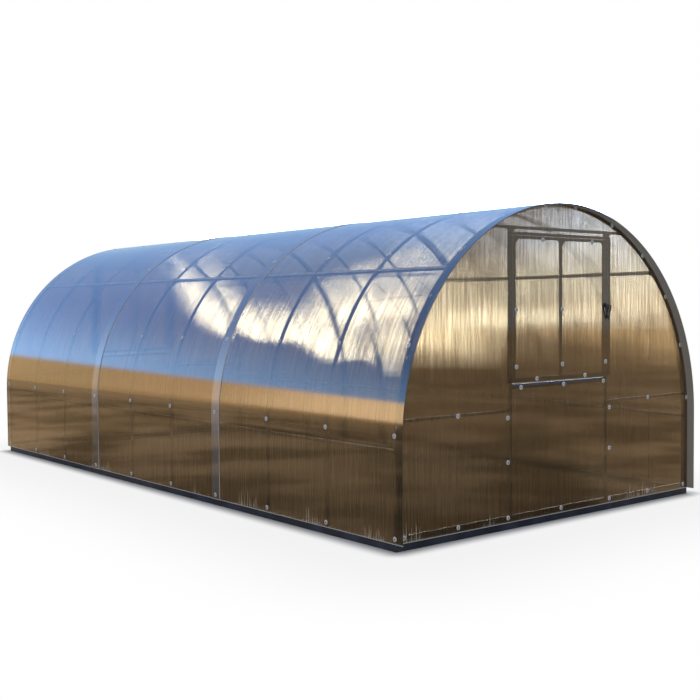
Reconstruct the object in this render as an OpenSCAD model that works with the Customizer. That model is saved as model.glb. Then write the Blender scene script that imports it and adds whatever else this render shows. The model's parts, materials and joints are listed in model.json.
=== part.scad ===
// Arched tunnel greenhouse: a frame of square steel tube under twin-wall sheets.
// X runs across the house, Y along it and Z up. The origin is the middle of the
// ground area. The front gable faces -Y, and the back gable is the same one turned round.

/* [House] */
// Width over the roof sheets
house_w = 3000; // [2450:10:3650]
// Length over the two end arches
house_l = 6000; // [4900:10:7300]
// Straight leg of an arch, from the base rail up to the bend
leg_h = 590; // [480:10:720]
// Bays between the arches
bays = 9; // [6:1:12]

/* [Tubes] */
// Side of the square frame tube
tube = 20; // [16:1:25]
// Height of the base rail
rail_h = 50; // [30:5:80]
// Depth of the base rail
rail_w = 25; // [25:5:50]
// Height of the lowest bar in a gable
bottom_bar_h = 40; // [30:5:50]
// Height of the vent sill and of the lower rail of the vent leaf
sill_h = 30; // [20:2:40]

/* [Purlins] */
// Drop of the low purlins below the bend of the arches
low_purlin_drop = 40; // [20:5:150]
// Angle of the high purlins above the horizontal, seen from the middle of the bend
high_purlin_angle = 45; // [35:1:55]
// Reach of a crossing bracket from its middle
bracket_arm = 42; // [30:1:60]
// Half width of a crossing bracket where its arms meet
bracket_web = 17; // [14:1:20]
// Thickness of a crossing bracket
bracket_t = 2; // [1:0.5:4]

/* [Sheets] */
// Thickness of a sheet
sheet_t = 4; // [4:1:10]
// Reach of the roof sheets past each end arch
overhang = 60; // [20:5:120]
// Lap of the middle roof sheet over its neighbours
sheet_lap = 100; // [50:5:200]
// Length of the joggle beside each lap
joggle_l = 8; // [4:1:20]
// Drop of the sheets below the top of the base rail
rail_lap = 5; // [0:1:25]
// Distance of the gable seams from the middle of the gable
seam_x = 1000; // [800:10:1100]

/* [Gable] */
// Clear width between the two posts
post_clear_w = 970; // [780:5:1180]
// Height of the side bars above the ground, to the middle of the bar
side_bar_z = 775; // [620:5:900]
// Height of the vent sill above the ground, to its underside
sill_z = 915; // [800:5:1050]
// Drop of the top bar below the crown of the arch
top_bar_drop = 172; // [120:1:220]
// Leg of the triangular gussets in the corners of posts, top bar and leaf
gusset_leg = 34; // [15:1:60]

/* [Vent leaf] */
// Gap between the sill and the leaf
vent_sill_gap = 10; // [4:1:20]
// Space between the top bar and the leaf
vent_head_gap = 52; // [30:1:80]
// Gap beside the leaf that holds the hinges
vent_hinge_gap = 12; // [8:1:16]
// Gap beside the leaf on the latch side
vent_latch_gap = 6; // [4:1:12]
// Reach of the leaf sheet past the leaf frame on each side
vent_side_lap = 55; // [30:1:70]
// Reach of the leaf sheet past the leaf frame at the top
vent_top_lap = 22; // [10:1:30]
// Length of a hinge barrel
hinge_l = 70; // [50:5:100]
// Distance of each hinge from the end of the leaf
hinge_inset = 130; // [90:5:200]

/* [Vent latch] */
// Height of the latch pivot above the middle of the leaf
latch_rise = 10; // [-100:5:100]
// Width of the latch base
latch_base_w = 34; // [24:1:40]
// Height of the latch base
latch_base_h = 64; // [50:1:90]
// Thickness of the latch base
latch_base_t = 6; // [4:1:10]
// Radius of the latch boss
latch_boss_r = 14; // [10:1:18]
// Length of the latch handle from its pivot
latch_handle_l = 82; // [60:1:110]
// Thickness of the latch handle
latch_handle_t = 9; // [6:1:14]
// Lean of the latch handle away from the vertical
latch_lean = 28; // [0:1:60]

/* [Hidden] */
// Space left between curved or sliding faces that meet
seat = 0.2;
// Space left beside the cut edge of a sheet
edge_gap = 2;
// Segments of a full circle
$fn = 360;

half_l = house_l / 2;
frame_r = house_w / 2 - sheet_t;
inner_r = frame_r - tube;
bend_z = rail_h + leg_h;
crown_z = bend_z + frame_r;
sheet_z = rail_h - rail_lap;
bay_l = (house_l - tube) / bays;
low_purlin_z = bend_z - low_purlin_drop;

roof_l = house_l + 2 * overhang;
roof_sheet_w = (roof_l + 2 * sheet_lap) / 3;

post_in = post_clear_w / 2;
post_out = post_in + tube;
bottom_bar_top = rail_h + bottom_bar_h;
sill_top = sill_z + sill_h;
top_bar_z = crown_z - top_bar_drop;

leaf_left = -post_in + vent_hinge_gap;
leaf_right = post_in - vent_latch_gap;
leaf_mid = (leaf_left + leaf_right) / 2;
leaf_bottom = sill_top + vent_sill_gap;
leaf_top = top_bar_z - vent_head_gap;
leaf_y = -half_l - sheet_t;
vent_cut_bottom = sill_z + sill_h / 2;
vent_cut_top = leaf_top + edge_gap;
latch_x = leaf_right - tube / 2;
latch_z = (leaf_bottom + leaf_top) / 2 + latch_rise;

STEEL = "#5c6874";
DARK_STEEL = "#2c3440";
SHEET = "#8a6a48";
BLACK = "#15161a";

GABLE_PARTS = [
    "posts", "bottom_bar", "top_bar", "side_bars", "centre_sheet", "side_sheets",
    "vent_sill", "vent_frame", "vent_sheet", "vent_hinges", "vent_latch"
];

// Middle of arch i along the house
function arch_y(i) = -half_l + tube / 2 + i * bay_l;

// Stands an outline drawn in X and Z upright, from y0 back to y0 + depth
module upright(y0, depth) {
    translate([0, y0 + depth, 0])
        rotate([90, 0, 0])
            linear_extrude(depth)
                children();
}

// Outline of the house with its bend at radius r, from the height z0 up
module house_outline(r, z0) {
    translate([-r, z0])
        square([2 * r, bend_z - z0]);
    intersection() {
        translate([0, bend_z])
            circle(r);
        translate([-r, bend_z])
            square([2 * r, r]);
    }
}

// Band between two outlines: legs below, half a ring above
module house_band(r_out, r_in, z0) {
    difference() {
        house_outline(r_out, z0);
        house_outline(r_in, z0 - 1);
    }
}

// The same piece on the left (-X) and on the right (+X)
module both_sides() {
    children();
    mirror([1, 0, 0])
        children();
}

// ---- Base rails ----

module base_rail_left() {
    color(DARK_STEEL)
        translate([-frame_r, -half_l, 0])
            cube([rail_w, house_l, rail_h]);
}

module base_rail_front() {
    color(DARK_STEEL)
        translate([-frame_r + rail_w, -half_l, 0])
            cube([2 * (frame_r - rail_w), rail_w, rail_h]);
}

// ---- Arches and purlins ----

// The length of an arch's bend between the angles a0 and a1 above the horizontal, on the left
module bend_length(a0, a1) {
    reach = 2 * frame_r;
    translate([0, bend_z])
        mirror([1, 0])
            intersection() {
                difference() {
                    circle(frame_r);
                    circle(inner_r);
                }
                rotate(a0)
                    translate([0, seat])
                        square(reach);
                rotate(a1)
                    translate([0, -reach - seat])
                        square(reach);
            }
}

// Six lengths of tube, which meet at the feet of the bend, the high purlins and the crown
module arch(i) {
    color(STEEL)
        upright(arch_y(i) - tube / 2, tube)
            both_sides() {
                translate([-frame_r, rail_h])
                    square([tube, leg_h - seat]);
                bend_length(0, high_purlin_angle);
                bend_length(high_purlin_angle, 90);
            }
}

// Puts children, drawn with the frame's outer face at the origin and +X inward,
// at the low purlin line on the left
module at_low_line() {
    translate([-frame_r, 0, low_purlin_z])
        children();
}

// The same at the high purlin line on the left
module at_high_line() {
    translate([0, 0, bend_z])
        rotate([0, high_purlin_angle, 0])
            translate([-frame_r, 0, 0])
                children();
}

// One purlin: a length of tube in each bay, cut to fit between the arches
module purlin_lengths() {
    color(STEEL)
        for (i = [0 : bays - 1])
            translate([seat, arch_y(i) + tube / 2, -tube / 2])
                cube([tube, bay_l - tube, tube]);
}

// Plate with four arms and webs between them, across the crossing of arch i, held
// off the tube by bow where the tube curves. At an end arch the arm that would leave
// the house is cut off.
module crossing_bracket(i, bow) {
    h = tube / 2;
    quarter = [[h, bracket_arm], [bracket_web, bracket_web], [bracket_arm, h]];
    y_low = i == 0 ? -h : -bracket_arm;
    y_high = i == bays ? h : bracket_arm;
    translate([tube + 2 * seat + bow, arch_y(i), 0])
        intersection() {
            rotate([90, 0, 90])
                linear_extrude(bracket_t)
                    polygon(concat(
                        quarter,
                        [for (p = [2 : -1 : 0]) [quarter[p].x, -quarter[p].y]],
                        [for (p = quarter) -p],
                        [for (p = [2 : -1 : 0]) [-quarter[p].x, quarter[p].y]]
                    ));
            translate([-1, y_low, -bracket_arm])
                cube([bracket_t + 2, y_high - y_low, 2 * bracket_arm]);
        }
}

module purlin_brackets() {
    color(STEEL)
        both_sides()
            for (i = [0 : bays]) {
                at_low_line()
                    crossing_bracket(i, 0);
                at_high_line()
                    crossing_bracket(i, bracket_arm * bracket_arm / (2 * inner_r));
            }
}

// ---- Roof sheets: one bent sheet each, from rail to rail over the arches ----

module roof_layer(layer, y0, length) {
    r = frame_r + layer * sheet_t;
    upright(y0, length)
        house_band(r + sheet_t, r, sheet_z);
}

module roof_sheet_front() {
    color(SHEET)
        roof_layer(0, -roof_l / 2, roof_sheet_w);
}

// The middle sheet rides up over both neighbours
module roof_sheet_middle() {
    lap_l = sheet_lap + edge_gap + joggle_l;
    color(SHEET) {
        roof_layer(0, -roof_sheet_w / 2 + sheet_lap + edge_gap, roof_sheet_w - 2 * (sheet_lap + edge_gap));
        for (y0 = [-roof_sheet_w / 2, roof_sheet_w / 2 - lap_l])
            roof_layer(1, y0, lap_l);
    }
}

// ---- Gable frame ----

// A bar across the gable, from x0 to x1, cut to the inside of the end arch
module gable_bar(x0, x1, z0, height) {
    color(STEEL)
        upright(-half_l, tube)
            intersection() {
                translate([x0, z0])
                    square([x1 - x0, height]);
                house_outline(inner_r - seat, rail_h);
            }
}

// Right-angled gusset with its corner at (x, z) and its legs along sx and sz
module gusset(x, z, sx, sz) {
    polygon([[x, z], [x + sx * gusset_leg, z], [x, z + sz * gusset_leg]]);
}

// Two posts, each with a pair of gussets under the top bar
module posts() {
    head_z = top_bar_z - tube / 2;
    both_sides() {
        gable_bar(-post_out, -post_in, bottom_bar_top, head_z - bottom_bar_top);
        color(STEEL)
            upright(-half_l, bracket_t) {
                gusset(-post_out, head_z, -1, -1);
                gusset(-post_in, head_z, 1, -1);
            }
    }
}

module bottom_bar() {
    gable_bar(-inner_r, inner_r, rail_h, bottom_bar_h);
}

module top_bar() {
    gable_bar(-inner_r, inner_r, top_bar_z - tube / 2, tube);
}

module side_bars() {
    both_sides()
        gable_bar(-inner_r, -post_out, side_bar_z - tube / 2, tube);
}

module vent_sill() {
    gable_bar(-post_in, post_in, sill_z, sill_h);
}

// ---- Gable sheets ----

// The part of the gable's sheeting between x0 and x1
module gable_sheeting(x0, x1) {
    intersection() {
        house_outline(frame_r - edge_gap, sheet_z);
        translate([x0, sheet_z])
            square([x1 - x0, crown_z]);
    }
}

module centre_sheet() {
    color(SHEET)
        upright(-half_l - sheet_t, sheet_t)
            difference() {
                gable_sheeting(-seam_x + edge_gap / 2, seam_x - edge_gap / 2);
                translate([-post_in, vent_cut_bottom])
                    square([2 * post_in, vent_cut_top - vent_cut_bottom]);
            }
}

module side_sheets() {
    color(SHEET)
        both_sides()
            upright(-half_l - sheet_t, sheet_t)
                gable_sheeting(-frame_r, -seam_x - edge_gap / 2);
}

// ---- Vent leaf: its frame lies flush with the face of the gable sheets ----

module vent_frame() {
    light_top = leaf_top - tube;
    light_bottom = leaf_bottom + sill_h;
    mullion = [leaf_mid - tube / 2, leaf_mid + tube / 2];
    color(STEEL) {
        upright(leaf_y, tube)
            difference() {
                translate([leaf_left, leaf_bottom])
                    square([leaf_right - leaf_left, leaf_top - leaf_bottom]);
                for (x = [[leaf_left + tube, mullion[0]], [mullion[1], leaf_right - tube]])
                    translate([x[0], light_bottom])
                        square([x[1] - x[0], light_top - light_bottom]);
            }
        upright(leaf_y, bracket_t) {
            gusset(leaf_left + tube, light_top, 1, -1);
            gusset(mullion[0], light_top, -1, -1);
            gusset(mullion[1], light_top, 1, -1);
            gusset(leaf_right - tube, light_top, -1, -1);
        }
    }
}

module vent_sheet() {
    color(SHEET)
        upright(leaf_y - sheet_t, sheet_t)
            translate([leaf_left - vent_side_lap, leaf_bottom])
                square([
                    leaf_right - leaf_left + 2 * vent_side_lap,
                    leaf_top - leaf_bottom + vent_top_lap
                ]);
}

// Barrel hinges welded between the post and the leaf
module vent_hinges() {
    color(DARK_STEEL)
        for (z = [leaf_bottom + hinge_inset, leaf_top - hinge_inset])
            translate([leaf_left - vent_hinge_gap / 2, leaf_y + (tube + sheet_t) / 2, z])
                cylinder(h = hinge_l, r = vent_hinge_gap / 2 - seat, center = true);
}

// Turn latch on the free side of the leaf: base, boss and a handle that narrows
module vent_latch() {
    face_y = leaf_y - sheet_t;
    handle_y = face_y - latch_base_t - latch_handle_t;
    tip_w = latch_boss_r * 0.9;
    color(BLACK) {
        upright(face_y - latch_base_t, latch_base_t)
            translate([latch_x - latch_base_w / 2, latch_z - latch_base_h / 2])
                square([latch_base_w, latch_base_h]);
        upright(handle_y, latch_handle_t)
            translate([latch_x, latch_z])
                rotate(latch_lean) {
                    circle(latch_boss_r);
                    polygon([
                        [-latch_boss_r, 0], [latch_boss_r, 0],
                        [tip_w / 2, -latch_handle_l], [-tip_w / 2, -latch_handle_l]
                    ]);
                }
    }
}

// The part called name of the front gable
module gable_part(name) {
    if (name == "posts") posts();
    if (name == "bottom_bar") bottom_bar();
    if (name == "top_bar") top_bar();
    if (name == "side_bars") side_bars();
    if (name == "centre_sheet") centre_sheet();
    if (name == "side_sheets") side_sheets();
    if (name == "vent_sill") vent_sill();
    if (name == "vent_frame") vent_frame();
    if (name == "vent_sheet") vent_sheet();
    if (name == "vent_hinges") vent_hinges();
    if (name == "vent_latch") vent_latch();
}

// Turns a piece of the front end round to the back end
module at_back() {
    rotate([0, 0, 180])
        children();
}

base_rail_left();
at_back() base_rail_left();  // base_rail_right
base_rail_front();
at_back() base_rail_front();  // base_rail_back
for (i = [0 : bays])
    arch(i);
at_low_line() purlin_lengths();  // low_purlin_left
mirror([1, 0, 0]) at_low_line() purlin_lengths();  // low_purlin_right
at_high_line() purlin_lengths();  // high_purlin_left
mirror([1, 0, 0]) at_high_line() purlin_lengths();  // high_purlin_right
purlin_brackets();
roof_sheet_front();
roof_sheet_middle();
at_back() roof_sheet_front();  // roof_sheet_back
for (part = GABLE_PARTS) {
    gable_part(part);
    at_back() gable_part(part);
}
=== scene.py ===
"""Looks of the arched tunnel greenhouse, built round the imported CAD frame.

Metres throughout, +Z up, the front gable facing -Y, the origin on the ground in the middle.
"""

import json
import math

import bmesh
import bpy
from mathutils import Matrix, Vector


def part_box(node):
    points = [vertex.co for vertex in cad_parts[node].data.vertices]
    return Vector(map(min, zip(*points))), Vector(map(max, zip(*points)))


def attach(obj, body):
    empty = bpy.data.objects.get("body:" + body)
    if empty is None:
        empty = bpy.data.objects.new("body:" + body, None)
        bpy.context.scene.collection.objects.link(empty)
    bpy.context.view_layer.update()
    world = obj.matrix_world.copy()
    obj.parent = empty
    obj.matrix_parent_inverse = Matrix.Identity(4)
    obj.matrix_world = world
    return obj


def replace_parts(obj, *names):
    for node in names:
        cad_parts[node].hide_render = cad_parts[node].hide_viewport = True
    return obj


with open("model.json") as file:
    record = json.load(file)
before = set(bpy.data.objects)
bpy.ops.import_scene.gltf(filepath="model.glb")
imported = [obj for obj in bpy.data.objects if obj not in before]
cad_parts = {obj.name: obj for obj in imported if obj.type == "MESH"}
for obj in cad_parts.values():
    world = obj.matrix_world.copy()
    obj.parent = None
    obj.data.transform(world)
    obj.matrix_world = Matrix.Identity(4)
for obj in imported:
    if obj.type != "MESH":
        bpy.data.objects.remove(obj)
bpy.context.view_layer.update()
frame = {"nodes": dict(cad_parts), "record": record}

# ---- Sizes, read from the frame ----

X, Y, Z = 0, 1, 2
LO, HI = 0, 1                             # the two corners of a box

ARCH_LO, ARCH_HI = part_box("arch_1")
SHEET_LO, SHEET_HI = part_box("roof_sheet_front")
RAIL_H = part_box("base_rail_front")[HI][Z]
SHEET_FOOT = SHEET_LO[Z]                  # height of the foot of the sheets
FRAME_R = ARCH_HI[X]                      # outer radius of the arches
TUBE = ARCH_HI[Y] - ARCH_LO[Y]            # side of the square tube
BEND_Z = ARCH_HI[Z] - FRAME_R             # height where the legs end and the bend starts
SHEET_R = SHEET_HI[X]                     # outer radius of the roof sheets
SHEET_T = SHEET_R - FRAME_R               # thickness of a sheet
HALF_L = -ARCH_LO[Y]                      # from the middle of the house to the face of an end arch
LAP_NEAR = -SHEET_HI[Y]                   # the roof sheets lap between these distances from the middle
LAP_FAR = -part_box("roof_sheet_middle")[LO][Y]


def middle(name, axis):
    """Middle of a CAD node's box along one axis."""
    lo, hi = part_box(name)
    return (lo[axis] + hi[axis]) / 2


ARCHES = [name for name in frame["nodes"] if name.startswith("arch_")]
ARCHES.sort(key=lambda name: middle(name, Y))


# ---- Node helpers ----

class Nodes:
    """Builds the node tree of one material or of the world. Its sums take numbers and sockets alike."""

    def __init__(self, owner):
        owner.use_nodes = True
        self.tree = owner.node_tree
        self.tree.nodes.clear()

    def put(self, socket, value):
        """Sets a socket to a value, or links another socket to it."""
        if isinstance(value, bpy.types.NodeSocket):
            self.tree.links.new(value, socket)
        else:
            socket.default_value = value

    def add(self, kind, inputs=None, **settings):
        """A node of that kind. inputs maps a socket's name or number to a value or to another socket."""
        node = self.tree.nodes.new(kind)
        for key, value in settings.items():
            setattr(node, key, value)
        for key, value in (inputs or {}).items():
            self.put(node.inputs[key], value)
        return node

    def math(self, operation, *inputs, clamp=False):
        """The result of one sum."""
        node = self.add("ShaderNodeMath", dict(enumerate(inputs)), operation=operation, use_clamp=clamp)
        return node.outputs[0]

    def plus(self, a, b):
        return self.math("ADD", a, b)

    def minus(self, a, b, clamp=False):
        return self.math("SUBTRACT", a, b, clamp=clamp)

    def times(self, a, b, clamp=False):
        return self.math("MULTIPLY", a, b, clamp=clamp)

    def line(self, a, slope, offset):
        """a times slope, plus offset."""
        return self.math("MULTIPLY_ADD", a, slope, offset)

    def larger(self, a, b):
        return self.math("MAXIMUM", a, b)

    def size(self, a):
        """a without its sign."""
        return self.math("ABSOLUTE", a)

    def over(self, a, limit):
        """1 where a is more than limit, else 0."""
        return self.math("GREATER_THAN", a, limit)

    def under(self, a, limit):
        """1 where a is less than limit, else 0."""
        return self.math("LESS_THAN", a, limit)

    def ramp(self, value, low, high, from_value=0.0, to_value=1.0):
        """value, stretched smoothly so that low becomes from_value and high becomes to_value."""
        inputs = {"Value": value, "From Min": low, "From Max": high, "To Min": from_value, "To Max": to_value}
        return self.add("ShaderNodeMapRange", inputs, interpolation_type="SMOOTHSTEP").outputs[0]

    def noise(self, place, scale, detail):
        """Noise between 0 and 1 at place."""
        return self.add("ShaderNodeTexNoise", {"Vector": place, "Scale": scale, "Detail": detail}).outputs[0]

    def point(self, x, y, z=0.0):
        """A point made of three numbers or sockets."""
        return self.add("ShaderNodeCombineXYZ", {X: x, Y: y, Z: z}).outputs[0]

    def parts(self, point):
        """The three numbers of a point."""
        return self.add("ShaderNodeSeparateXYZ", {0: point}).outputs

    def vector(self, operation, *inputs):
        """The node of one sum on points."""
        return self.add("ShaderNodeVectorMath", dict(enumerate(inputs)), operation=operation)

    def blend(self, factor, a, b):
        """Colour a where factor is 0 and b where it is 1."""
        node = self.add("ShaderNodeMix", data_type="RGBA")
        used = {socket.name: socket for socket in node.inputs if socket.enabled}
        self.put(used["Factor"], factor)
        for key, colour in (("A", a), ("B", b)):
            self.put(used[key], colour if isinstance(colour, bpy.types.NodeSocket) else (*colour, 1.0))
        return next(socket for socket in node.outputs if socket.enabled)

    def mix(self, factor, a, b):
        """Shader a where factor is 0 and b where it is 1."""
        return self.add("ShaderNodeMixShader", {0: factor, 1: a, 2: b}).outputs[0]

    def bump(self, height, distance):
        """A normal bumped by height, in metres of distance."""
        return self.add("ShaderNodeBump", {"Height": height, "Distance": distance}).outputs[0]

    def light_path(self):
        """The sockets that tell one kind of ray from another."""
        return self.add("ShaderNodeLightPath").outputs

    def only_mirrored(self, path):
        """1 for a ray that was mirrored and has not passed through a sheet, else 0."""
        return self.minus(path["Is Glossy Ray"], path["Is Transmission Ray"], clamp=True)

    def finish(self, surface):
        """Puts surface on a material's output."""
        self.add("ShaderNodeOutputMaterial", {"Surface": surface})


def material(name):
    """A new material and its node builder."""
    made = bpy.data.materials.new(name)
    return made, Nodes(made)


# ---- Twin-wall sheet ----

SHEET_CLEAR = (0.645, 0.58, 0.49)         # what one face of a sheet lets through, where it is clean
SHEET_DIM = (0.505, 0.43, 0.335)          # and along the darker streaks
SHEET_END = (0.30, 0.285, 0.25)           # and past the end arches, where it is darkened as painted shade
SHEET_INNER = (0.10, 0.10, 0.09)          # and on the inner face of that overhang, darker still as painted shade
SHEET_SHADE = (0.52, 0.47, 0.40)          # what one face lets through of the light that falls inside
SHEET_DUST = (0.62, 0.58, 0.52)
SHEET_DAMP = (0.60, 0.63, 0.70)           # milky film between lapped sheets, its blue tint a painted sky reflection
SHEET_GLOSS = (1.0, 0.83, 0.64)           # bronze sheen
SHEET_MIRROR = 0.06                       # what a sheet mirrors of a ray that meets it head on
SHEET_GRAZE = 2.45                        # the higher, the later that grows to 1 towards a grazing ray
SHEET_ROUGHNESS = 0.05
SHEET_IOR = 1.15                          # low, so that a thin sheet hardly shifts what stands behind it
SHEET_WAVE = 0.0005                       # height of the bump that the wide streaks make

FLUTE = 0.0057                            # distance between the webs of a twin-wall sheet
GABLE_TILT = 0.45                         # how far a flute leans to each side, which blurs what is behind
ROOF_TILT = 0.12                          # and in the roof, where the photo shows the frame more clearly

# A ramp is written as where it begins and ends and, where that is not 0 and 1, the values there
WIDE_STREAKS = (62.0, 1.2)                # in one metre across the flutes, and along them
FINE_STREAKS = (150.0, 3.0)
WIDE_SHARE = 0.35                         # share of the wide ones in the mix of both
DIM_RAMP = (0.42, 0.58)                   # of the mix, from clear to dim
VEIL_RAMP = (0.3, 0.75, 0.004, 0.025)     # and from little to more dust all over the sheet

TUFT_PATCHES = 1.7                        # patches with dusty spikes at the foot, in one metre
TUFT_PATCH_RAMP = (0.48, 0.6)             # of their noise
TUFT_SPIKES = 75.0                        # and the spikes in them
TUFT_SPIKE_RAMP = (0.45, 0.75, 0.0, 0.16)     # from their noise to their height over the rail
TUFT_EDGE_RAMP = (-0.015, 0.03)           # softness of their edge
TUFT_DUST = 0.42                          # share of dust in them
DAMP_RAMP = (0.4, 0.7, 0.14, 0.36)        # share of damp in a lap, from near the ground up
DAMP_TOP_RAMP = (0.9, 1.6, 1.0, 0.4)      # and what is left of it, from the wall up to the roof
END_SHADE_RAMP = (HALF_L - 0.004, HALF_L + 0.03)     # where the painted shade past the end arches begins and is full
OVERHANG_DUST = 0.5                       # share of dust on the inner face of the overhang
OVERHANG_MATT = 0.9                       # and what that face loses of its sheen

CUT_LAP = (0.62, 0.68, 0.78)              # colours of a sheet's cut edges; the pale blue of the laps is a painted sky reflection
CUT_FOOT = (0.42, 0.42, 0.42)
# dark at the roof's ends as painted shade
CUT_ROOF_END = (0.06, 0.055, 0.05)
CUT_GABLE = (0.17, 0.15, 0.12)
CUT_GABLE_SHARE = 0.45                    # how much of that shows round a gable sheet
CUT_ROUGHNESS = 0.35
FOOT_LINE = 0.005                         # height of the pale line along the foot
END_FACING = 0.5                          # a face that looks along the house more than this is no roof face


class SheetNodes(Nodes):
    """Node builder for a sheet, with sockets that say where on the sheet a point is.

    along and across run with the flutes and square to them. skin is 1 on the broad faces and 0 on the cut
    edges. met_outside is 1 where a ray comes from outside the sheet.
    """

    def __init__(self, owner, bent):
        super().__init__(owner)
        self.bent = bent
        self.place = self.add("ShaderNodeNewGeometry").outputs
        self.x, self.y, self.z = self.parts(self.place["Position"])
        self.normal = self.parts(self.place["True Normal"])
        self.met_outside = self.minus(1.0, self.place["Backfacing"])
        facing_end = self.size(self.normal[Y])
        if bent:
            self.rise = self.larger(self.minus(self.z, BEND_Z), 0.0)
            angle = self.math("ARCTAN2", self.rise, self.size(self.x))
            self.along = self.line(angle, SHEET_R, self.math("MINIMUM", self.z, BEND_Z))
            self.across = self.y
            self.skin = self.under(facing_end, END_FACING)
        else:
            self.along = self.z
            self.across = self.x
            self.skin = self.over(facing_end, END_FACING)

    def strips(self, across, along=None):
        """Noise drawn out along the flutes, with about that many strips in one metre."""
        length = self.times(self.along, along) if along else 0.0
        return self.noise(self.point(self.times(self.across, across), length), scale=1.0, detail=2.0)

    def dust(self, streak):
        """Share of dust: a thin veil, and short pale spikes that climb the flutes at the foot."""
        patch = self.ramp(self.strips(TUFT_PATCHES), *TUFT_PATCH_RAMP)
        spikes = self.ramp(self.strips(TUFT_SPIKES), *TUFT_SPIKE_RAMP)
        over_rail = self.minus(self.z, RAIL_H)
        tuft = self.ramp(self.minus(self.times(patch, spikes), over_rail), *TUFT_EDGE_RAMP)
        veil = self.ramp(streak, *VEIL_RAMP)
        return self.larger(veil, self.times(tuft, TUFT_DUST))

    def lap(self):
        """1 where two roof sheets lap, else 0."""
        reach = self.size(self.y)
        return self.times(self.over(reach, LAP_NEAR), self.under(reach, LAP_FAR))

    def damp(self):
        """Share of damp between lapped sheets, most of it half way up the wall."""
        return self.times(self.ramp(self.z, *DAMP_RAMP), self.ramp(self.z, *DAMP_TOP_RAMP))

    def overhang(self):
        """1 on the inner face of the roof past the end arches, else 0."""
        outward = self.line(self.normal[X], self.x, self.times(self.normal[Z], self.rise))
        return self.times(self.over(self.size(self.y), HALF_L), self.under(outward, 0.0))

    def flute_normal(self):
        """A normal that leans from side to side within each flute, like that of a weak lens."""
        phase = self.minus(self.math("FRACT", self.math("DIVIDE", self.across, FLUTE)), 0.5)
        tilt = self.times(phase, 2.0 * (ROOF_TILT if self.bent else GABLE_TILT))
        lean = self.point(0.0, tilt) if self.bent else self.point(tilt, 0.0)
        leaning = self.vector("ADD", self.place["Normal"], lean).outputs[0]
        return self.vector("NORMALIZE", leaning).outputs[0]

    def body(self, tint):
        """What passes through: blurred where it is seen, and plain for the light that falls inside."""
        path = self.light_path()
        lit_through = self.larger(path["Is Shadow Ray"], path["Is Diffuse Ray"])
        plain = self.add("ShaderNodeBsdfTransparent", {"Color": (*SHEET_SHADE, 1.0)}).outputs[0]
        blurred = self.add("ShaderNodeBsdfRefraction", {
            "Color": tint, "Roughness": 0.0, "IOR": SHEET_IOR, "Normal": self.flute_normal()}).outputs[0]
        return self.mix(lit_through, blurred, plain)

    def mirror_share(self, bumped):
        """What a face mirrors: more towards a grazing ray, and nothing from inside the sheet."""
        facing = self.add("ShaderNodeLayerWeight", {"Blend": 0.5, "Normal": bumped}).outputs["Facing"]
        share = self.line(self.math("POWER", facing, SHEET_GRAZE), 1.0 - SHEET_MIRROR, SHEET_MIRROR)
        return self.times(share, self.met_outside, clamp=True)

    def cut_edge(self):
        """Share and shader of the cut edges: pale along the foot, pale blue at the laps as a painted sky
        reflection, and dark at the ends of the roof as painted shade.
        """
        foot = self.times(self.under(self.z, SHEET_FOOT + FOOT_LINE), self.over(self.z, 0.0))
        entered = self.times(self.minus(1.0, self.skin), self.met_outside)
        share = self.larger(foot, self.times(entered, 1.0 if self.bent else CUT_GABLE_SHARE))
        pale = self.larger(foot, self.under(self.size(self.y), HALF_L)) if self.bent else foot
        light = self.blend(foot, CUT_LAP, CUT_FOOT)
        # on the roof's end edges the dark colour is painted shade
        colour = self.blend(pale, CUT_ROOF_END if self.bent else CUT_GABLE, light)
        edge = self.add("ShaderNodeBsdfPrincipled", {"Base Color": colour, "Roughness": CUT_ROUGHNESS})
        return share, edge.outputs[0]


def sheet_material(name, bent):
    """Bronze twin-wall polycarbonate. Its flutes run up a gable, or over the house on a bent sheet, and blur
    sideways what stands behind them, so that only what touches the sheet shows clearly."""
    made = bpy.data.materials.new(name)
    n = SheetNodes(made, bent)
    wide = n.strips(*WIDE_STREAKS)
    streak = n.plus(n.times(wide, WIDE_SHARE), n.times(n.strips(*FINE_STREAKS), 1.0 - WIDE_SHARE))
    tint = n.blend(n.ramp(streak, *DIM_RAMP), SHEET_CLEAR, SHEET_DIM)
    haze = n.dust(streak)
    haze_colour = (*SHEET_DUST, 1.0)
    bumped = n.bump(wide, SHEET_WAVE)
    mirror = n.mirror_share(bumped)
    if bent:
        # Past the end arches the sheet lets less through, a painted shade, least of all on the overhang's
        # inner face
        past_end = n.ramp(n.size(n.y), *END_SHADE_RAMP)
        lap, overhang = n.lap(), n.overhang()
        tint = n.blend(overhang, n.blend(past_end, tint, SHEET_END), SHEET_INNER)
        haze = n.larger(n.larger(haze, n.times(lap, n.damp())), n.times(overhang, OVERHANG_DUST))
        # in the laps the haze takes the damp colour, whose blue tint is a painted sky reflection
        haze_colour = n.blend(lap, SHEET_DUST, SHEET_DAMP)
        mirror = n.times(mirror, n.line(overhang, -OVERHANG_MATT, 1.0))

    haze_shader = n.add("ShaderNodeBsdfDiffuse", {"Color": haze_colour}).outputs[0]
    gloss = n.add("ShaderNodeBsdfGlossy", {
        "Color": (*SHEET_GLOSS, 1.0), "Roughness": SHEET_ROUGHNESS, "Normal": bumped}).outputs[0]
    faces = n.mix(mirror, n.mix(haze, n.body(tint), haze_shader), gloss)
    cut, edge = n.cut_edge()
    n.finish(n.mix(cut, faces, edge))
    return made


# ---- Steel, paint and plastic ----

CLOUD = (0.3, 0.7)                        # range of a cloudy noise that turns into roughness
SPANGLE_SHARE = 0.4                       # of the spangle in the dark marks on zinc
STEEL_DARK = 0.72                         # how dark they are
STEEL_METAL = 0.6
STEEL_ROUGHNESS = (0.28, 0.44)
PAINT_ROUGHNESS = (0.38, 0.5)
PAINT_SPECULAR = 0.25
PLASTIC_SPREAD = 0.15                     # how far the roughness of plastic goes up and down


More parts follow.
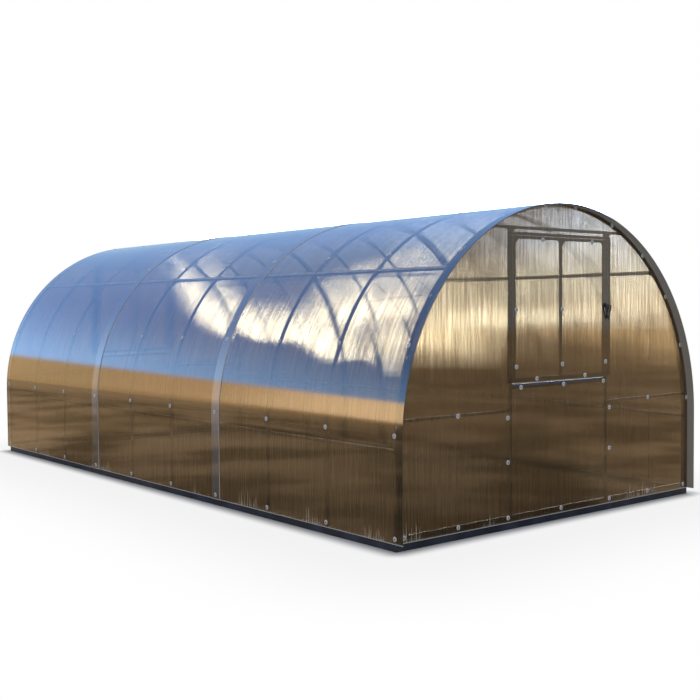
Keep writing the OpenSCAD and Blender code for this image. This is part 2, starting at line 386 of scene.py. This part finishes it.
def steel_material(name, colour):
    """Galvanised square tube: dull zinc with a faint spangle and darker handling marks."""
    made, n = material(name)
    place = n.add("ShaderNodeNewGeometry").outputs["Position"]
    spangle = n.noise(place, scale=220.0, detail=2.0)
    cloud = n.noise(place, scale=9.0, detail=4.0)
    dark = tuple(c * STEEL_DARK for c in colour)
    marks = n.plus(n.times(spangle, SPANGLE_SHARE), n.times(cloud, 1.0 - SPANGLE_SHARE))
    shade = n.blend(n.ramp(marks, low=0.35, high=0.65), dark, colour)
    rough = n.ramp(cloud, *CLOUD, *STEEL_ROUGHNESS)
    n.finish(n.add("ShaderNodeBsdfPrincipled", {
        "Base Color": shade, "Metallic": STEEL_METAL, "Roughness": rough,
        "Normal": n.bump(spangle, distance=0.0002)}).outputs[0])
    return made


def paint_material(name, colour):
    """Satin paint over steel, with a little dust on top."""
    made, n = material(name)
    place = n.add("ShaderNodeNewGeometry").outputs["Position"]
    orange_peel = n.noise(place, scale=500.0, detail=2.0)
    cloud = n.noise(place, scale=5.0, detail=4.0)
    dusty = tuple(c * 1.5 + 0.01 for c in colour)
    shade = n.blend(n.ramp(cloud, low=0.4, high=0.75), colour, dusty)
    rough = n.ramp(cloud, *CLOUD, *PAINT_ROUGHNESS)
    n.finish(n.add("ShaderNodeBsdfPrincipled", {
        "Base Color": shade, "Roughness": rough, "Specular IOR Level": PAINT_SPECULAR,
        "Normal": n.bump(orange_peel, distance=0.0001)}).outputs[0])
    return made


def plastic_material(name, colour, roughness):
    """Moulded plastic with a fine grain."""
    made, n = material(name)
    place = n.add("ShaderNodeNewGeometry").outputs["Position"]
    grain = n.noise(place, scale=900.0, detail=2.0)
    cloud = n.noise(place, scale=30.0, detail=3.0)
    pale = tuple(c * 1.2 + 0.01 for c in colour)
    shade = n.blend(n.ramp(cloud, low=0.4, high=0.7), colour, pale)
    rough = n.ramp(cloud, *CLOUD, roughness * (1.0 - PLASTIC_SPREAD), roughness * (1.0 + PLASTIC_SPREAD))
    n.finish(n.add("ShaderNodeBsdfPrincipled", {
        "Base Color": shade, "Roughness": rough, "Normal": n.bump(grain, distance=0.0001)}).outputs[0])
    return made


ROOF_SHEET = sheet_material("bronze_roof_sheet", bent=True)
GABLE_SHEET = sheet_material("bronze_gable_sheet", bent=False)
# One galvanised steel in three tones: the frame's is lightened as painted sunlight, the vent leaf's and
# sill's are darkened as painted shade
FRAME_STEEL = steel_material("galvanised_tube", (0.66, 0.71, 0.78))
LEAF_SHADED_STEEL = steel_material("leaf_tube_painted_shade", (0.20, 0.22, 0.25))
SILL_SHADED_STEEL = steel_material("sill_tube_painted_shade", (0.09, 0.10, 0.13))
HINGE_STEEL = steel_material("hinge_zinc", (0.22, 0.24, 0.28))
SCREW_STEEL = steel_material("screw_zinc", (0.16, 0.16, 0.17))
RAIL_PAINT = paint_material("slate_rail_paint", (0.016, 0.021, 0.032))
BLACK_PLASTIC = plastic_material("black_latch", (0.012, 0.012, 0.014), 0.35)
WASHER_PLASTIC = plastic_material("milky_washer", (0.48, 0.49, 0.51), 0.35)

SLOT_MATERIAL = {
    "frame_steel": FRAME_STEEL,
    "base_rail": RAIL_PAINT,
    "roof_sheet": ROOF_SHEET,
    "gable_sheet": GABLE_SHEET,
    "hinge_steel": HINGE_STEEL,
    "latch_plastic": BLACK_PLASTIC,
    "washer_plastic": WASHER_PLASTIC,
    "screw_steel": SCREW_STEEL,
}
# The vent leaves and sills take the darker copies of the steel, which are painted shade
NODE_MATERIAL = {
    "front_vent_frame": LEAF_SHADED_STEEL, "back_vent_frame": LEAF_SHADED_STEEL,
    "front_vent_sill": SILL_SHADED_STEEL, "back_vent_sill": SILL_SHADED_STEEL,
}


def dress_frame():
    """Gives each CAD node its own material, or else that of its slot."""
    for part in frame["record"]["subparts"]:
        mesh = frame["nodes"][part["node"]].data
        mesh.materials.clear()
        mesh.materials.append(NODE_MATERIAL.get(part["node"], SLOT_MATERIAL[part["material_slot"]]))


# ---- Mesh helpers ----

def new_object(name, bm, made):
    """An object in the scene, made of a bmesh and a material."""
    mesh = bpy.data.meshes.new(name)
    bm.to_mesh(mesh)
    bm.free()
    mesh.materials.append(made)
    obj = bpy.data.objects.new(name, mesh)
    bpy.context.collection.objects.link(obj)
    return obj


def piece(name, bm, slot):
    """Turns a bmesh into an object that rides on the house, in its slot's material."""
    bmesh.ops.recalc_face_normals(bm, faces=bm.faces)
    obj = new_object(name, bm, SLOT_MATERIAL[slot])
    obj.data.shade_smooth()
    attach(obj, "root")
    return obj


def join(bm, ring, after):
    """Faces from one closed ring of corners to the next, which may be a single point."""
    for k in range(len(ring)):
        a, b = k, (k + 1) % len(ring)
        if len(after) == 1:
            bm.faces.new((ring[a], ring[b], after[0]))
        else:
            bm.faces.new((ring[a], ring[b], after[b], after[a]))


def turned(bm, profile, spot, steps):
    """Turns a profile of (radius, height) pairs round the axis of spot, from a base in to the middle."""
    turns = [2 * math.pi * k / steps for k in range(steps)]
    rings = []
    for radius, height in profile:
        around = turns if radius else [0.0]
        rings.append([bm.verts.new(spot @ Vector((radius * math.cos(a), radius * math.sin(a), height)))
                      for a in around])
    bm.faces.new(rings[0])
    for outer, inner in zip(rings, rings[1:]):
        join(bm, outer, inner)


def bar(bm, path, out, size, power, steps, closed=False):
    """A bar along path, out being square to the path. size is its width and its depth along out, and the
    smaller power, the sharper its edges."""
    wide, deep = size
    last = len(path) - 1
    rings = []
    for k, point in enumerate(path):
        before = path[k - 1] if closed or k else path[0]
        after = path[(k + 1) % len(path)] if closed or k < last else path[last]
        side = (after - before).normalized().cross(out)
        ring = []
        for step in range(steps):
            turn = 2 * math.pi * step / steps
            c, s = round(math.cos(turn), 9), round(math.sin(turn), 9)
            across = side * (wide / 2 * math.copysign(abs(c) ** power, c))
            forward = out * (deep / 2 * math.copysign(abs(s) ** power, s))
            ring.append(bm.verts.new(point + across + forward))
        rings.append(ring)
    for ring, after in zip(rings, rings[1:]):
        join(bm, ring, after)
    if closed:
        join(bm, rings[-1], rings[0])
    else:
        bm.faces.new(rings[0])
        bm.faces.new(rings[-1])


def spot_at(point, outward):
    """A frame at point whose +Z is outward."""
    return Matrix.Translation(point) @ outward.to_track_quat("Z", "Y").to_matrix().to_4x4()


# ---- Screws and thermo washers ----

WASHER_R = 0.016
WASHER_H = 0.0038
WASHER_H_ON_LAP = WASHER_H * 0.5          # pressed in where it stands on two sheets
SCREW_R = 0.0055
WASHER_STEPS, SCREW_STEPS = 20, 12

FOOT_SCREW_Z = 0.078                      # height of the screws along the rails
ROOF_SCREWS_AT = (2.0, 23.0, 51.0, 79.0)  # degrees up the bend, over each arch
GABLE_SCREWS_AT = (4, 20, 36, 52, 68, 84)     # the same, in the gable
END_SCREW_X = 1.44                        # nearest to the corners of the house
SEAM_SCREW_X = 0.985                      # along the seams of the gable sheets
POST_SCREWS_Z = (0.44, 0.73)
SILL_SCREWS_X = (-0.403, 0.028, 0.46)
SILL_SCREW_Z = 0.922
STILE_SCREWS_X = (-0.45, 0.01, 0.48)      # up the vent leaf's stiles and mullion
STILE_SCREWS_Z = (1.058, 1.43)
LEAF_FOOT_SCREWS_X = (-0.25, 0.25)        # along the leaf's foot and head
LEAF_FOOT_SCREW_Z = 0.972
LEAF_HEAD_SCREWS_X = (-0.19, 0.33)
LEAF_HEAD_SCREW_Z = 1.89


def washer_profile(height):
    """Soft flange, domed shoulder and a shallow well for the screw head."""
    flange = [(WASHER_R, -0.0005), (WASHER_R, 0.0006), (WASHER_R * 0.93, 0.0014)]
    shares = ((0.72, 0.72), (0.58, 0.9), (0.46, 0.95), (0.40, 0.85), (0.37, 0.45), (0.0, 0.45))
    return flange + [(WASHER_R * out, height * up) for out, up in shares]


def screw_profile(height):
    """Low domed head that sits in the washer's well."""
    shares = ((1.0, 0.40), (1.0, 0.75), (0.8, 0.93), (0.4, 1.0), (0.0, 0.98))
    return [(SCREW_R * out, height * up) for out, up in shares]


def fixings(name, spots):
    """One piece of washers and one of screws, at (point, outward, height of the washer) spots."""
    washers, screws = bmesh.new(), bmesh.new()
    for point, outward, height in spots:
        spot = spot_at(Vector(point), Vector(outward))
        turned(washers, washer_profile(height), spot, WASHER_STEPS)
        turned(screws, screw_profile(height), spot, SCREW_STEPS)
    piece(name + "_washers", washers, "washer_plastic")
    piece(name + "_screws", screws, "screw_steel")


def roof_spots(side):
    """Along every arch: at the rail, just over the bend's foot and three more up the roof."""
    spots = []
    for name in ARCHES:
        y = middle(name, Y)
        on_lap = LAP_NEAR < abs(y) < LAP_FAR
        radius = SHEET_R + SHEET_T if on_lap else SHEET_R
        height = WASHER_H_ON_LAP if on_lap else WASHER_H
        spots.append(((side * radius, y, FOOT_SCREW_Z), (side, 0, 0), height))
        for degrees in ROOF_SCREWS_AT:
            a = math.radians(degrees)
            out = (side * math.cos(a), 0, math.sin(a))
            spots.append(((radius * out[X], y, BEND_Z + radius * out[Z]), out, height))
    return spots


def gable_points():
    """Screws of the front gable: on the rail, the bars, the posts, the arch, the sill and the vent leaf."""
    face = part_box("front_centre_sheet")[LO][Y]
    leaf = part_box("front_vent_sheet")[LO][Y]
    bar_z = middle("front_side_bars", Z)
    post_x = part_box("front_posts")[HI][X] - TUBE / 2
    arch_r = FRAME_R - TUBE / 2
    rail_x = (-END_SCREW_X, -SEAM_SCREW_X, -post_x, 0.0, post_x, SEAM_SCREW_X, END_SCREW_X)
    points = [(x, face, FOOT_SCREW_Z) for x in rail_x]
    points += [(x, face, bar_z) for x in (-SEAM_SCREW_X, SEAM_SCREW_X)]
    points += [(x, face, z) for x in (-post_x, post_x) for z in POST_SCREWS_Z]
    for degrees in GABLE_SCREWS_AT:
        a = math.radians(degrees)
        points += [(side * arch_r * math.cos(a), face, BEND_Z + arch_r * math.sin(a)) for side in (-1, 1)]
    points += [(x, face, SILL_SCREW_Z) for x in SILL_SCREWS_X]
    points += [(x, leaf, z) for x in STILE_SCREWS_X for z in STILE_SCREWS_Z]
    points += [(x, leaf, LEAF_FOOT_SCREW_Z) for x in LEAF_FOOT_SCREWS_X]
    points += [(x, leaf, LEAF_HEAD_SCREW_Z) for x in LEAF_HEAD_SCREWS_X]
    return points


def make_fixings():
    """Screws and washers of the roof's sides and of both gables, the back one being the front one turned."""
    fixings("left_roof", roof_spots(-1))
    fixings("right_roof", roof_spots(1))
    points = gable_points()
    fixings("front_gable", [(point, (0, -1, 0), WASHER_H) for point in points])
    fixings("back_gable", [((-x, -y, z), (0, 1, 0), WASHER_H) for x, y, z in points])


# ---- Bent tube ----

ARCH_GAP = 0.0006                         # kept free between an arch and the sheets
ARCH_POWER = 0.2                          # sharpness of the tube's edges, as bar takes it
ARCH_BENDS, ARCH_STEPS = 120, 24          # faces along the bend and round the tube


def arch(node):
    """One arch as a round-edged square tube, which stops just short of the sheets."""
    y = middle(node, Y)
    side = TUBE - ARCH_GAP
    radius = FRAME_R - TUBE / 2 - ARCH_GAP / 2
    leg_z = (RAIL_H, (RAIL_H + BEND_Z) / 2)
    path = [Vector((-radius, y, z)) for z in leg_z]
    for step in range(ARCH_BENDS + 1):
        a = math.pi * step / ARCH_BENDS
        path.append(Vector((-radius * math.cos(a), y, BEND_Z + radius * math.sin(a))))
    path += [Vector((radius, y, z)) for z in reversed(leg_z)]
    bm = bmesh.new()
    bar(bm, path, Vector((0, 1, 0)), (side, side), ARCH_POWER, ARCH_STEPS)
    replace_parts(piece(node + "_tube", bm, "frame_steel"), node)


# ---- Turn latch of each vent ----

LATCH_DROP = 0.014                        # from the top of the CAD latch to the top of the grip
BASE_DROP = 0.018                         # from there to the middle of the base
BASE_HALF_W = 0.2                         # half the base's width, as a share of the latch's
BASE_HALF_H = 0.026
BASE_ROUND = 0.006                        # radius of the base's corners
BASE_LAYERS = ((0.0, 1.0), (0.0035, 1.0), (0.005, 0.86))      # distance from the stile, and size
BOSS_DROP = 0.012
BOSS_R, BOSS_TOP_R, BOSS_BASE = 0.012, 0.0105, 0.004
BOSS_SHOULDER, BOSS_TOP = 0.7, 0.85       # shares of the latch's depth
BOSS_STEPS = 20
GRIP_SIZE = (0.008, 0.007)                # of the bar that the grip is bent from
GRIP_POWER, GRIP_STEPS = 0.5, 12
GRIP_ROUND = 0.012                        # radius of the grip's corners
GRIP_INSET = 0.004                        # of the grip's middle, from the front of the latch
GRIP_LEFT, GRIP_RIGHT, GRIP_RIGHT_DROP = -0.024, 0.046, 0.008
GRIP_TIP, GRIP_TIP_DROP = 0.014, 0.016    # the tip hangs a little below the CAD latch
CORNER_STEPS = 5


def rounded(corners, radius):
    """The closed path through corners, each rounded."""
    path = []
    for k, corner in enumerate(corners):
        back = (corners[k - 1] - corner).normalized() * radius
        on = (corners[(k + 1) % len(corners)] - corner).normalized() * radius
        for step in range(CORNER_STEPS + 1):
            t = step / CORNER_STEPS
            path.append(corner + back * (1 - t) ** 2 + on * t ** 2)
    return path


def latch(node):
    """Base plate, boss and a triangular grip, in the place of the CAD latch."""
    lo, hi = (Vector(corner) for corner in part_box(node))
    front = -1.0 if lo.y < 0 else 1.0
    out = Vector((0, front, 0))
    right = Vector((-front, 0, 0))
    stile = Vector(((lo.x + hi.x) / 2, hi.y if front < 0 else lo.y, 0))
    width = hi.x - lo.x
    depth = hi.y - lo.y
    top = hi.z - LATCH_DROP
    bm = bmesh.new()

    def place(across, forward, z):
        """The point so far to the right of the latch's middle, so far off the stile, and at height z."""
        return stile + out * forward + right * across + Vector((0, 0, z))

    rings = []
    for forward, size in BASE_LAYERS:
        half, tall = width * BASE_HALF_W * size, BASE_HALF_H * size
        corners = [place(a * half, forward, top - BASE_DROP + b * tall)
                   for a, b in ((-1, -1), (1, -1), (1, 1), (-1, 1))]
        rings.append([bm.verts.new(p) for p in rounded(corners, BASE_ROUND)])
    bm.faces.new(rings[0])
    for ring, after in zip(rings, rings[1:]):
        join(bm, ring, after)
    bm.faces.new(rings[-1])

    profile = [(BOSS_R, BOSS_BASE), (BOSS_R, depth * BOSS_SHOULDER), (BOSS_TOP_R, depth * BOSS_TOP),
               (0.0, depth * BOSS_TOP)]
    turned(bm, profile, spot_at(place(0.0, 0.0, top - BOSS_DROP), out), BOSS_STEPS)

    grip = [place(across, depth - GRIP_INSET, z) for across, z in (
        (GRIP_LEFT, top), (GRIP_RIGHT, top - GRIP_RIGHT_DROP), (GRIP_TIP, lo.z - GRIP_TIP_DROP))]
    bar(bm, rounded(grip, GRIP_ROUND), out, GRIP_SIZE, GRIP_POWER, GRIP_STEPS, closed=True)
    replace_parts(piece(node + "_grip", bm, "latch_plastic"), node)


# ---- Floor ----

WHITE = (1.0, 1.0, 1.0)
FLOOR_R = 60.0
FLOOR_SIDES = 96
FLOOR_GREY = (0.5, 0.5, 0.5)
FLOOR_PATCHES = 0.8                       # in one metre, of the mirrored ground
FLOOR_PATCH_RAMP = (0.4, 0.6)             # of their noise
FLOOR_DARK = (0.20, 0.16, 0.10)           # colours of the mirrored ground
FLOOR_PALE = (0.57, 0.46, 0.33)
FLOOR_GLOW = (1.0, 0.78, 0.52)            # and of the floor's white, where that is mirrored
FLOOR_NEAR_RAMPS = ((0.0, 0.16, 0.0, 0.85), (0.2, 1.6, 0.0, 0.15))    # how it turns white for the camera
FLOOR_FAR_RAMP = (8.0, 20.0)              # and for rays that have met a sheet, by distance from the house
FLOOR_MIRRORED = 0.35                     # share of that white in mirrored rays


def make_floor():
    """Pale studio floor, plain white some way off. Near the house it keeps the shadow, and what a sheet
    mirrors of it is brown ground with uneven patches."""
    bm = bmesh.new()
    bmesh.ops.create_circle(bm, cap_ends=True, segments=FLOOR_SIDES, radius=FLOOR_R)
    made, n = material("pale_floor")
    place = n.add("ShaderNodeNewGeometry").outputs["Position"]
    across = n.parts(place)
    beside = [n.larger(n.minus(n.size(across[axis]), half), 0.0)
              for axis, half in ((X, SHEET_R), (Y, HALF_L))]
    outside = n.vector("LENGTH", n.point(*beside)).outputs["Value"]
    path = n.light_path()
    direct = n.times(n.plus(*(n.ramp(outside, *ramp) for ramp in FLOOR_NEAR_RAMPS)), path["Is Camera Ray"])
    bounced = n.larger(path["Is Transmission Ray"], n.times(path["Is Glossy Ray"], FLOOR_MIRRORED))
    whitened = n.larger(direct, n.times(n.ramp(outside, *FLOOR_FAR_RAMP), bounced))
    only_mirrored = n.only_mirrored(path)
    patches = n.ramp(n.noise(place, FLOOR_PATCHES, detail=3.0), *FLOOR_PATCH_RAMP)
    ground = n.blend(patches, FLOOR_DARK, FLOOR_PALE)
    shade = n.blend(only_mirrored, FLOOR_GREY, ground)
    near = n.add("ShaderNodeBsdfDiffuse", {"Color": shade}).outputs[0]
    glow = n.blend(only_mirrored, WHITE, FLOOR_GLOW)
    white = n.add("ShaderNodeEmission", {"Color": glow, "Strength": 1.0}).outputs[0]
    n.finish(n.mix(whitened, near, white))
    new_object("floor", bm, made)


# ---- World ----

WORLD_LIGHT = 0.75                        # strength of the white that lights the house

# What is mirrored. Ranges are parts of a direction one long: x to the right, y to the back, z up
HORIZON = (0.11, 0.15)                    # the warm strip over the ground turns into sky here
LOW_WARM = (1.35, 1.0, 0.62)              # colours of that strip on the left, from the left,
LOW_SUN = (4.4, 3.5, 2.4)
LOW_OLIVE = (0.9, 0.72, 0.44)
LOW_EARTH = (0.9, 0.66, 0.36)             # and at its foot
SUN_COMES, SUN_GOES = (-0.78, -0.68), (-0.68, -0.5)
OLIVE_COMES = (-0.5, -0.39)
EARTH_GOES = (-0.01, 0.03)
PATCHES_X, PATCHES_Z = 9.0, 40.0          # that make the foot uneven
PATCHES_H = 0.05
SKY_HEIGHT = (0.08, 0.45)                 # the sky turns from its low to its high colour here
SKY_LEFT = ((0.66, 1.5, 3.4), (0.22, 0.56, 1.65))
SKY_RIGHT = ((0.42, 0.74, 1.35), (0.27, 0.58, 1.45))
RIGHT_COMES = (-0.25, 0.2)
SKY_FRONT = (0.6, 0.64, 0.7)              # low down in front on the right
FRONT_X, FRONT_Y, FRONT_Z = (0.0, 0.3), (-0.3, 0.1), (0.1, 0.25)


def mirrored_sky(n, way):
    """Colour of the mirrored world in a direction: blue sky, and on the left a warm and uneven horizon."""
    x, y, z = way
    patches = n.noise(n.point(n.times(x, PATCHES_X), n.times(z, PATCHES_Z)), scale=1.0, detail=3.0)
    uneven = n.line(patches, PATCHES_H, n.minus(z, PATCHES_H / 2))
    low = n.blend(n.ramp(x, *OLIVE_COMES), LOW_WARM, LOW_OLIVE)
    low = n.blend(n.ramp(x, *SUN_GOES), LOW_SUN, low)
    low = n.blend(n.ramp(x, *SUN_COMES), LOW_WARM, low)
    low = n.blend(n.ramp(uneven, *EARTH_GOES), LOW_EARTH, low)
    high = n.ramp(z, *SKY_HEIGHT)
    left = n.blend(n.ramp(z, *HORIZON), low, n.blend(high, *SKY_LEFT))
    sides = n.blend(n.ramp(x, *RIGHT_COMES), left, n.blend(high, *SKY_RIGHT))
    front = n.times(n.ramp(y, *FRONT_Y, 1.0, 0.0), n.ramp(x, *FRONT_X))
    front = n.times(front, n.ramp(z, *FRONT_Z, 1.0, 0.0))
    return n.blend(front, sides, SKY_FRONT)


def make_world():
    """White for what is seen and for what lights the house. Only what is mirrored is a sky over a horizon."""
    world = bpy.data.worlds.new("studio")
    bpy.context.scene.world = world
    n = Nodes(world)
    way = n.parts(n.add("ShaderNodeTexCoord").outputs["Generated"])
    path = n.light_path()
    shown = n.blend(n.only_mirrored(path), WHITE, mirrored_sky(n, way))
    seen = n.larger(path["Is Camera Ray"], n.larger(path["Is Glossy Ray"], path["Is Transmission Ray"]))
    light = n.add("ShaderNodeBackground", {"Color": (*WHITE, 1.0), "Strength": WORLD_LIGHT}).outputs[0]
    view = n.add("ShaderNodeBackground", {"Color": shown, "Strength": 1.0}).outputs[0]
    n.add("ShaderNodeOutputWorld", {"Surface": n.mix(seen, light, view)})


# ---- Lamp ----

KEY_PLACE = (7.0, 5.0, 8.0)
KEY_TARGET = (0.0, 0.0, 0.5)
KEY_SIDE = 5.0
KEY_RADIANCE = 9.0


def make_key():
    """A soft square lamp from behind on the right, which no sheet mirrors."""
    data = bpy.data.lights.new("key", "AREA")
    data.shape = "SQUARE"
    data.size = KEY_SIDE
    data.energy = KEY_RADIANCE * math.pi * KEY_SIDE ** 2
    lamp = bpy.data.objects.new("key", data)
    lamp.location = KEY_PLACE
    lamp.rotation_euler = (Vector(KEY_TARGET) - Vector(KEY_PLACE)).to_track_quat("-Z", "Y").to_euler()
    lamp.visible_glossy = False
    bpy.context.collection.objects.link(lamp)


# ---- Camera ----

CAMERA_PLACE = Vector((-5.594, -7.620, 1.456))
CAMERA_YAW = math.radians(39.11)          # to the right of +Y
CAMERA_PITCH = math.radians(-2.34)
CAMERA_ROLL = math.radians(0.475)
CAMERA_LENS, CAMERA_SENSOR = 54.05, 36.0      # millimetres
CAMERA_REACH = 200.0


def make_camera():
    """The photo's camera."""
    camera = bpy.data.objects.new("camera", bpy.data.cameras.new("camera"))
    camera.data.sensor_width = CAMERA_SENSOR
    camera.data.lens = CAMERA_LENS
    camera.data.clip_end = CAMERA_REACH
    camera.location = CAMERA_PLACE
    level = Matrix.Rotation(-CAMERA_YAW, 4, "Z") @ Matrix.Rotation(math.pi / 2 + CAMERA_PITCH, 4, "X")
    camera.rotation_euler = (level @ Matrix.Rotation(-CAMERA_ROLL, 4, "Z")).to_euler()
    bpy.context.collection.objects.link(camera)
    bpy.context.scene.camera = camera


# ---- Standing light behind the house ----

GLOW_DISTANCE = 25.0                      # from the camera
GLOW_LEFT, GLOW_RIGHT = -6.0, 10.0        # edges of its plane, from the camera's line of sight
GLOW_FOOT, GLOW_HEAD = 0.02, 7.0
GLOW_BAND = (17.0, 24.5, 35.0)            # its light in the gable and in the roof
GLOW_FADING = (15.0, 17.5, 17.5)          # under the gable's band
GLOW_SKY = (4.0, 7.0, 13.0)               # over the band
GLOW_HIGH = (12.5, 24.0, 60.0)            # and near the ridge

# On the plane u runs to the right and v upwards, in metres
BEGIN_U = (-4.4, -1.6)                    # all of it comes in here from the left,
RIM, RIM_BEND = (7.4, 7.8), 0.125         # and ends here, on a line bent like the right edge of the gable
GABLE_U = (1.3, 1.6)                      # here the roof in front of it gives way to the gable
SKY_V, SKY_RAMP = (0.9, 1.4), (1.0, 3.5, 0.2, 0.9)     # the sky by v, and its strength by u
HIGH_V = (2.2, 3.8)
FADING_RAMP = (0.3, 0.8, 1.0, 0.0)        # of the band's strength, to the share of the fading colour

BAND_RISE = -0.003                        # bends the band upwards to the right
BAND_START_RAMP = (2.5, 4.5, 0.97, 0.75)      # height where it starts, by u
BAND_FULL = 1.25                          # and where it is full
BAND_END = (1.3, 1.8)                     # it fades out here
BAND_RAMP = (4.2, 5.8, 1.0, 0.5)          # its strength by u
SHELF_FALL, SHELF_V = 0.22, 1.66          # the dim light under the band: slope and height of its foot,
SHELF_EDGE = (-0.08, 0.08)                # softness of that foot,
SHELF_RAMP = (4.0, 6.0, 0.5, 0.25)        # and strength by u

PATCH_BEND = 0.35                         # bends the foot of the roof's patch upwards,
PATCH_BEND_U = -1.0                       # left of this
PATCH_FOOT_RAMP = (0.95, 1.3, 0.5, 1.05)  # height of the foot by u
PATCH_START_RAMPS = ((-0.5, 0.6, 0.0, -0.75), (0.75, 1.15, 0.0, 0.75))     # over the foot the patch starts,
PATCH_FULL = 0.16                         # is full,
PATCH_FADE = 0.3                          # starts to fade,
PATCH_END_RAMP = (-0.2, 0.8, 1.15, 1.5)   # and ends
PATCH_RAMP = (-0.6, 0.6, 1.9, 1.5)        # its strength by u


def gable_band(n, u, v):
    """Light seen through the gable: the bright band by itself, and together with the dim light under it."""
    rising = n.line(n.math("POWER", u, 3.0), BAND_RISE, v)
    foot = n.ramp(rising, n.ramp(u, *BAND_START_RAMP), BAND_FULL)
    head = n.ramp(rising, *BAND_END, n.ramp(u, *BAND_RAMP), 0.0)
    band = n.times(foot, head)
    shelf = n.line(u, SHELF_FALL, n.minus(v, SHELF_V))
    shelf = n.times(n.ramp(shelf, *SHELF_EDGE), n.ramp(rising, *BAND_END, 1.0, 0.0))
    shelf = n.times(shelf, n.ramp(u, *SHELF_RAMP))
    return band, n.larger(band, shelf)


def roof_patch(n, u, v):
    """Light seen through the roof: a white patch over a bent foot, softer where it nears the gable."""
    left = n.larger(n.minus(PATCH_BEND_U, u), 0.0)
    foot = n.line(n.times(left, left), PATCH_BEND, n.ramp(u, *PATCH_FOOT_RAMP))
    over = n.minus(v, foot)
    start = n.plus(*(n.ramp(u, *ramp) for ramp in PATCH_START_RAMPS))
    fading = n.ramp(over, PATCH_FADE, n.ramp(u, *PATCH_END_RAMP), n.ramp(u, *PATCH_RAMP), 0.0)
    return n.times(fading, n.ramp(over, start, PATCH_FULL))


def glow_material():
    """Light that adds to what is behind it."""
    made, n = material("back_glow")
    u, v = n.parts(n.add("ShaderNodeTexCoord").outputs["Object"])[:2]
    rim = n.line(n.times(v, v), RIM_BEND, u)
    within = n.times(n.ramp(u, *BEGIN_U), n.ramp(rim, *RIM, 1.0, 0.0))
    gable = n.ramp(u, *GABLE_U)
    bright, band = gable_band(n, u, v)
    low = n.line(band, gable, n.times(roof_patch(n, u, v), n.minus(1.0, gable)))
    low_colour = n.blend(n.times(gable, n.ramp(bright, *FADING_RAMP)), GLOW_BAND, GLOW_FADING)
    high = n.times(n.ramp(v, *SKY_V), n.ramp(u, *SKY_RAMP))
    high_colour = n.blend(n.ramp(v, *HIGH_V), GLOW_SKY, GLOW_HIGH)
    total = n.add("ShaderNodeBsdfTransparent", {"Color": (*WHITE, 1.0)}).outputs[0]
    for colour, strength in ((low_colour, low), (high_colour, high)):
        light = n.add("ShaderNodeEmission", {"Color": colour, "Strength": n.times(strength, within)})
        total = n.add("ShaderNodeAddShader", {0: light.outputs[0], 1: total}).outputs[0]
    n.finish(total)
    made.cycles.emission_sampling = "NONE"
    return made


def make_glow():
    """A standing plane of soft light behind the house as the camera sees it. It shows only through the
    sheets: it lights no surface, casts no shadow and is in no mirrored ray."""
    ahead = Vector((math.sin(CAMERA_YAW), math.cos(CAMERA_YAW), 0.0))
    right = Vector((ahead.y, -ahead.x, 0.0))
    up = Vector((0.0, 0.0, 1.0))
    base = Vector((CAMERA_PLACE.x, CAMERA_PLACE.y, 0.0)) + ahead * GLOW_DISTANCE
    foot, head = ([(u, v, 0.0) for u in (GLOW_LEFT, GLOW_RIGHT)] for v in (GLOW_FOOT, GLOW_HEAD))
    bm = bmesh.new()
    bm.faces.new([bm.verts.new(corner) for corner in (*foot, *reversed(head))])
    glow = new_object("back_glow", bm, glow_material())
    glow.matrix_world = Matrix.Translation(base) @ Matrix((right, up, -ahead)).transposed().to_4x4()
    glow.visible_diffuse = glow.visible_glossy = glow.visible_shadow = False


# ---- Everything together ----

dress_frame()
make_fixings()
for arch_node in ARCHES:
    arch(arch_node)
latch("front_vent_latch")
latch("back_vent_latch")
make_floor()
make_world()
make_glow()
make_key()
make_camera()

bpy.context.scene.view_settings.view_transform = "Standard"
bpy.context.scene.cycles.transparent_max_bounces = 48     # enough for a ray along the whole house
